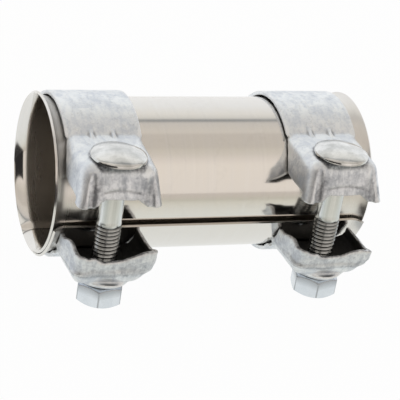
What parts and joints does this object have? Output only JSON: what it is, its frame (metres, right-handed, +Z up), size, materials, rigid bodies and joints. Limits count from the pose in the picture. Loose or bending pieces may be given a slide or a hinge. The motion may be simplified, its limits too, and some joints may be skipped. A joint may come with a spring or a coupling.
{
  "type": "exhaust pipe connector",
  "caption": "Rolled stainless sleeve with flared ends and an overlapping slit, clamped at each end by a pressed steel band with an upright bolt and nut.",
  "frame": {"origin": "middle of the sleeve's bore, on its axis", "axes": "+X along the bore to the end where the lip stands off more, +Z up along the bolts to their heads, -Y towards the bolts and the slit"},
  "size_m": [0.125, 0.0784, 0.0635],
  "materials": {
    "stainless_sheet": "polished",
    "galvanised_steel": "matte",
    "zinc_steel": "satin",
    "zinc_bright": "satin"
  },
  "bodies": {
    "sleeve": {"sleeve": "stainless_sheet"},
    "left_clamp": {"left_band": "galvanised_steel"},
    "right_clamp": {"right_band": "galvanised_steel"},
    "left_bolt": {"left_bolt": "zinc_steel"},
    "right_bolt": {"right_bolt": "zinc_steel"},
    "left_nut": {"left_nut": "zinc_bright"},
    "right_nut": {"right_nut": "zinc_bright"}
  },
  "joints": [
    {"name": "left_clamp_slide", "type": "slide", "parent": "sleeve", "child": "left_clamp", "axis": [1, 0, 0], "range_m": [0, 0.025]},
    {"name": "left_nut_turn", "type": "hinge", "parent": "left_clamp", "child": "left_nut", "pos_m": [-0.0438, -0.0368, -0.028], "axis": [0, 0, -1], "range_deg": [0, 1440]},
    {"name": "left_bolt_lift", "type": "slide", "parent": "left_clamp", "child": "left_bolt", "axis": [0, 0, 1], "range_m": [0, 0.006]},
    {"name": "right_clamp_slide", "type": "slide", "parent": "sleeve", "child": "right_clamp", "axis": [1, 0, 0], "range_m": [-0.025, 0]},
    {"name": "right_nut_turn", "type": "hinge", "parent": "right_clamp", "child": "right_nut", "pos_m": [0.0422, -0.0368, -0.028], "axis": [0, 0, -1], "range_deg": [0, 1440]},
    {"name": "right_bolt_lift", "type": "slide", "parent": "right_clamp", "child": "right_bolt", "axis": [0, 0, 1], "range_m": [0, 0.006]}
  ],
  "couplings": [
    {"joint": "left_nut_turn", "follows": "left_bolt_lift", "rad_per_m": 4188.8},
    {"joint": "right_nut_turn", "follows": "right_bolt_lift", "rad_per_m": 4188.8}
  ]
}
